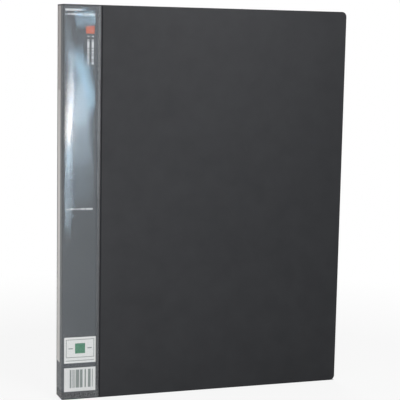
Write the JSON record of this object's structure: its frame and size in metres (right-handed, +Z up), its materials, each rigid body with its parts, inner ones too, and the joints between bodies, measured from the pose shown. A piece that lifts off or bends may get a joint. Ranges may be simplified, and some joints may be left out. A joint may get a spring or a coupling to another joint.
{
  "type": "clear pocket display book",
  "caption": "Upright display book for standard sheets: creased plastic cover, clear title pocket with a card round the spine, and welded clear page pockets that fan as the covers open.",
  "frame": {"origin": "middle of the closed book's foot, on the surface it stands on", "axes": "+X from the spine to the fore-edge, +Y from the front cover to the back cover, +Z up along the spine"},
  "size_m": [0.2386, 0.02, 0.31],
  "materials": {
    "cover_sheet": "matte",
    "binding_strip": "satin",
    "title_film": "gloss",
    "title_card": "matte",
    "pocket_film": "satin"
  },
  "bodies": {
    "spine": {"spine_panel": "cover_sheet", "binding_strip": "binding_strip", "title_film_spine": "title_film"},
    "front_cover": {"front_cover": "cover_sheet", "title_film_front": "title_film"},
    "back_cover": {"back_cover": "cover_sheet"},
    "title_insert_spine": {"title_insert_spine": "title_card"},
    "title_insert_front": {"title_insert_front": "title_card"},
    "pocket_01": {"pocket_01": "pocket_film"},
    "pocket_02": {"pocket_02": "pocket_film"},
    "pocket_03": {"pocket_03": "pocket_film"},
    "pocket_04": {"pocket_04": "pocket_film"},
    "pocket_05": {"pocket_05": "pocket_film"},
    "pocket_06": {"pocket_06": "pocket_film"},
    "pocket_07": {"pocket_07": "pocket_film"},
    "pocket_08": {"pocket_08": "pocket_film"},
    "pocket_09": {"pocket_09": "pocket_film"},
    "pocket_10": {"pocket_10": "pocket_film"},
    "pocket_11": {"pocket_11": "pocket_film"},
    "pocket_12": {"pocket_12": "pocket_film"},
    "pocket_13": {"pocket_13": "pocket_film"},
    "pocket_14": {"pocket_14": "pocket_film"},
    "pocket_15": {"pocket_15": "pocket_film"},
    "pocket_16": {"pocket_16": "pocket_film"},
    "pocket_17": {"pocket_17": "pocket_film"},
    "pocket_18": {"pocket_18": "pocket_film"},
    "pocket_19": {"pocket_19": "pocket_film"},
    "pocket_20": {"pocket_20": "pocket_film"},
    "pocket_21": {"pocket_21": "pocket_film"},
    "pocket_22": {"pocket_22": "pocket_film"},
    "pocket_23": {"pocket_23": "pocket_film"},
    "pocket_24": {"pocket_24": "pocket_film"},
    "pocket_25": {"pocket_25": "pocket_film"},
    "pocket_26": {"pocket_26": "pocket_film"},
    "pocket_27": {"pocket_27": "pocket_film"},
    "pocket_28": {"pocket_28": "pocket_film"},
    "pocket_29": {"pocket_29": "pocket_film"},
    "pocket_30": {"pocket_30": "pocket_film"}
  },
  "joints": [
    {"name": "front_cover_hinge", "type": "hinge", "parent": "spine", "child": "front_cover", "pos_m": [-0.11827, -0.00902, 0], "axis": [0, 0, -1], "range_deg": [0, 180]},
    {"name": "back_cover_hinge", "type": "hinge", "parent": "spine", "child": "back_cover", "pos_m": [-0.11827, 0.00958, 0], "axis": [0, 0, 1], "range_deg": [0, 180]},
    {"name": "title_insert_slide", "type": "slide", "parent": "spine", "child": "title_insert_spine", "axis": [0, 0, 1], "range_m": [0, 0.303]},
    {"name": "title_insert_fold", "type": "hinge", "parent": "title_insert_spine", "child": "title_insert_front", "pos_m": [-0.11827, -0.00902, 0], "axis": [0, 0, -1], "range_deg": [0, 180]},
    {"name": "pocket_01_turn", "type": "hinge", "parent": "spine", "child": "pocket_01", "pos_m": [-0.11732, -0.00827, 0], "axis": [0, 0, -1], "range_deg": [0, 60]},
    {"name": "pocket_02_turn", "type": "hinge", "parent": "spine", "child": "pocket_02", "pos_m": [-0.11732, -0.00768, 0], "axis": [0, 0, -1], "range_deg": [0, 56]},
    {"name": "pocket_03_turn", "type": "hinge", "parent": "spine", "child": "pocket_03", "pos_m": [-0.11732, -0.00709, 0], "axis": [0, 0, -1], "range_deg": [0, 52]},
    {"name": "pocket_04_turn", "type": "hinge", "parent": "spine", "child": "pocket_04", "pos_m": [-0.11732, -0.00651, 0], "axis": [0, 0, -1], "range_deg": [0, 48]},
    {"name": "pocket_05_turn", "type": "hinge", "parent": "spine", "child": "pocket_05", "pos_m": [-0.11732, -0.00592, 0], "axis": [0, 0, -1], "range_deg": [0, 44]},
    {"name": "pocket_06_turn", "type": "hinge", "parent": "spine", "child": "pocket_06", "pos_m": [-0.11732, -0.00532, 0], "axis": [0, 0, -1], "range_deg": [0, 40]},
    {"name": "pocket_07_turn", "type": "hinge", "parent": "spine", "child": "pocket_07", "pos_m": [-0.11732, -0.00473, 0], "axis": [0, 0, -1], "range_deg": [0, 36]},
    {"name": "pocket_08_turn", "type": "hinge", "parent": "spine", "child": "pocket_08", "pos_m": [-0.11732, -0.00415, 0], "axis": [0, 0, -1], "range_deg": [0, 32]},
    {"name": "pocket_09_turn", "type": "hinge", "parent": "spine", "child": "pocket_09", "pos_m": [-0.11732, -0.00356, 0], "axis": [0, 0, -1], "range_deg": [0, 28]},
    {"name": "pocket_10_turn", "type": "hinge", "parent": "spine", "child": "pocket_10", "pos_m": [-0.11732, -0.00297, 0], "axis": [0, 0, -1], "range_deg": [0, 24]},
    {"name": "pocket_11_turn", "type": "hinge", "parent": "spine", "child": "pocket_11", "pos_m": [-0.11732, -0.00237, 0], "axis": [0, 0, -1], "range_deg": [0, 20]},
    {"name": "pocket_12_turn", "type": "hinge", "parent": "spine", "child": "pocket_12", "pos_m": [-0.11732, -0.00178, 0], "axis": [0, 0, -1], "range_deg": [0, 16]},
    {"name": "pocket_13_turn", "type": "hinge", "parent": "spine", "child": "pocket_13", "pos_m": [-0.11732, -0.0012, 0], "axis": [0, 0, -1], "range_deg": [0, 12]},
    {"name": "pocket_14_turn", "type": "hinge", "parent": "spine", "child": "pocket_14", "pos_m": [-0.11732, -0.0006, 0], "axis": [0, 0, -1], "range_deg": [0, 8]},
    {"name": "pocket_15_turn", "type": "hinge", "parent": "spine", "child": "pocket_15", "pos_m": [-0.11732, -0.00002, 0], "axis": [0, 0, -1], "range_deg": [0, 4]},
    {"name": "pocket_16_turn", "type": "hinge", "parent": "spine", "child": "pocket_16", "pos_m": [-0.11732, 0.00057, 0], "axis": [0, 0, 1], "range_deg": [0, 4]},
    {"name": "pocket_17_turn", "type": "hinge", "parent": "spine", "child": "pocket_17", "pos_m": [-0.11732, 0.00117, 0], "axis": [0, 0, 1], "range_deg": [0, 8]},
    {"name": "pocket_18_turn", "type": "hinge", "parent": "spine", "child": "pocket_18", "pos_m": [-0.11732, 0.00176, 0], "axis": [0, 0, 1], "range_deg": [0, 12]},
    {"name": "pocket_19_turn", "type": "hinge", "parent": "spine", "child": "pocket_19", "pos_m": [-0.11732, 0.00234, 0], "axis": [0, 0, 1], "range_deg": [0, 16]},
    {"name": "pocket_20_turn", "type": "hinge", "parent": "spine", "child": "pocket_20", "pos_m": [-0.11732, 0.00294, 0], "axis": [0, 0, 1], "range_deg": [0, 20]},
    {"name": "pocket_21_turn", "type": "hinge", "parent": "spine", "child": "pocket_21", "pos_m": [-0.11732, 0.00352, 0], "axis": [0, 0, 1], "range_deg": [0, 24]},
    {"name": "pocket_22_turn", "type": "hinge", "parent": "spine", "child": "pocket_22", "pos_m": [-0.11732, 0.00411, 0], "axis": [0, 0, 1], "range_deg": [0, 28]},
    {"name": "pocket_23_turn", "type": "hinge", "parent": "spine", "child": "pocket_23", "pos_m": [-0.11732, 0.0047, 0], "axis": [0, 0, 1], "range_deg": [0, 32]},
    {"name": "pocket_24_turn", "type": "hinge", "parent": "spine", "child": "pocket_24", "pos_m": [-0.11732, 0.0053, 0], "axis": [0, 0, 1], "range_deg": [0, 36]},
    {"name": "pocket_25_turn", "type": "hinge", "parent": "spine", "child": "pocket_25", "pos_m": [-0.11732, 0.00588, 0], "axis": [0, 0, 1], "range_deg": [0, 40]},
    {"name": "pocket_26_turn", "type": "hinge", "parent": "spine", "child": "pocket_26", "pos_m": [-0.11732, 0.00647, 0], "axis": [0, 0, 1], "range_deg": [0, 44]},
    {"name": "pocket_27_turn", "type": "hinge", "parent": "spine", "child": "pocket_27", "pos_m": [-0.11732, 0.00707, 0], "axis": [0, 0, 1], "range_deg": [0, 48]},
    {"name": "pocket_28_turn", "type": "hinge", "parent": "spine", "child": "pocket_28", "pos_m": [-0.11732, 0.00766, 0], "axis": [0, 0, 1], "range_deg": [0, 52]},
    {"name": "pocket_29_turn", "type": "hinge", "parent": "spine", "child": "pocket_29", "pos_m": [-0.11732, 0.00825, 0], "axis": [0, 0, 1], "range_deg": [0, 56]},
    {"name": "pocket_30_turn", "type": "hinge", "parent": "spine", "child": "pocket_30", "pos_m": [-0.11732, 0.00884, 0], "axis": [0, 0, 1], "range_deg": [0, 60]}
  ],
  "couplings": [
    {"joint": "title_insert_fold", "follows": "front_cover_hinge", "ratio": 1},
    {"joint": "pocket_01_turn", "follows": "front_cover_hinge", "ratio": 0.33333},
    {"joint": "pocket_02_turn", "follows": "front_cover_hinge", "ratio": 0.31111},
    {"joint": "pocket_03_turn", "follows": "front_cover_hinge", "ratio": 0.28889},
    {"joint": "pocket_04_turn", "follows": "front_cover_hinge", "ratio": 0.26667},
    {"joint": "pocket_05_turn", "follows": "front_cover_hinge", "ratio": 0.24444},
    {"joint": "pocket_06_turn", "follows": "front_cover_hinge", "ratio": 0.22222},
    {"joint": "pocket_07_turn", "follows": "front_cover_hinge", "ratio": 0.2},
    {"joint": "pocket_08_turn", "follows": "front_cover_hinge", "ratio": 0.17778},
    {"joint": "pocket_09_turn", "follows": "front_cover_hinge", "ratio": 0.15556},
    {"joint": "pocket_10_turn", "follows": "front_cover_hinge", "ratio": 0.13333},
    {"joint": "pocket_11_turn", "follows": "front_cover_hinge", "ratio": 0.11111},
    {"joint": "pocket_12_turn", "follows": "front_cover_hinge", "ratio": 0.088889},
    {"joint": "pocket_13_turn", "follows": "front_cover_hinge", "ratio": 0.066667},
    {"joint": "pocket_14_turn", "follows": "front_cover_hinge", "ratio": 0.044444},
    {"joint": "pocket_15_turn", "follows": "front_cover_hinge", "ratio": 0.022222},
    {"joint": "pocket_16_turn", "follows": "back_cover_hinge", "ratio": 0.022222},
    {"joint": "pocket_17_turn", "follows": "back_cover_hinge", "ratio": 0.044444},
    {"joint": "pocket_18_turn", "follows": "back_cover_hinge", "ratio": 0.066667},
    {"joint": "pocket_19_turn", "follows": "back_cover_hinge", "ratio": 0.088889},
    {"joint": "pocket_20_turn", "follows": "back_cover_hinge", "ratio": 0.11111},
    {"joint": "pocket_21_turn", "follows": "back_cover_hinge", "ratio": 0.13333},
    {"joint": "pocket_22_turn", "follows": "back_cover_hinge", "ratio": 0.15556},
    {"joint": "pocket_23_turn", "follows": "back_cover_hinge", "ratio": 0.17778},
    {"joint": "pocket_24_turn", "follows": "back_cover_hinge", "ratio": 0.2},
    {"joint": "pocket_25_turn", "follows": "back_cover_hinge", "ratio": 0.22222},
    {"joint": "pocket_26_turn", "follows": "back_cover_hinge", "ratio": 0.24444},
    {"joint": "pocket_27_turn", "follows": "back_cover_hinge", "ratio": 0.26667},
    {"joint": "pocket_28_turn", "follows": "back_cover_hinge", "ratio": 0.28889},
    {"joint": "pocket_29_turn", "follows": "back_cover_hinge", "ratio": 0.31111},
    {"joint": "pocket_30_turn", "follows": "back_cover_hinge", "ratio": 0.33333}
  ]
}
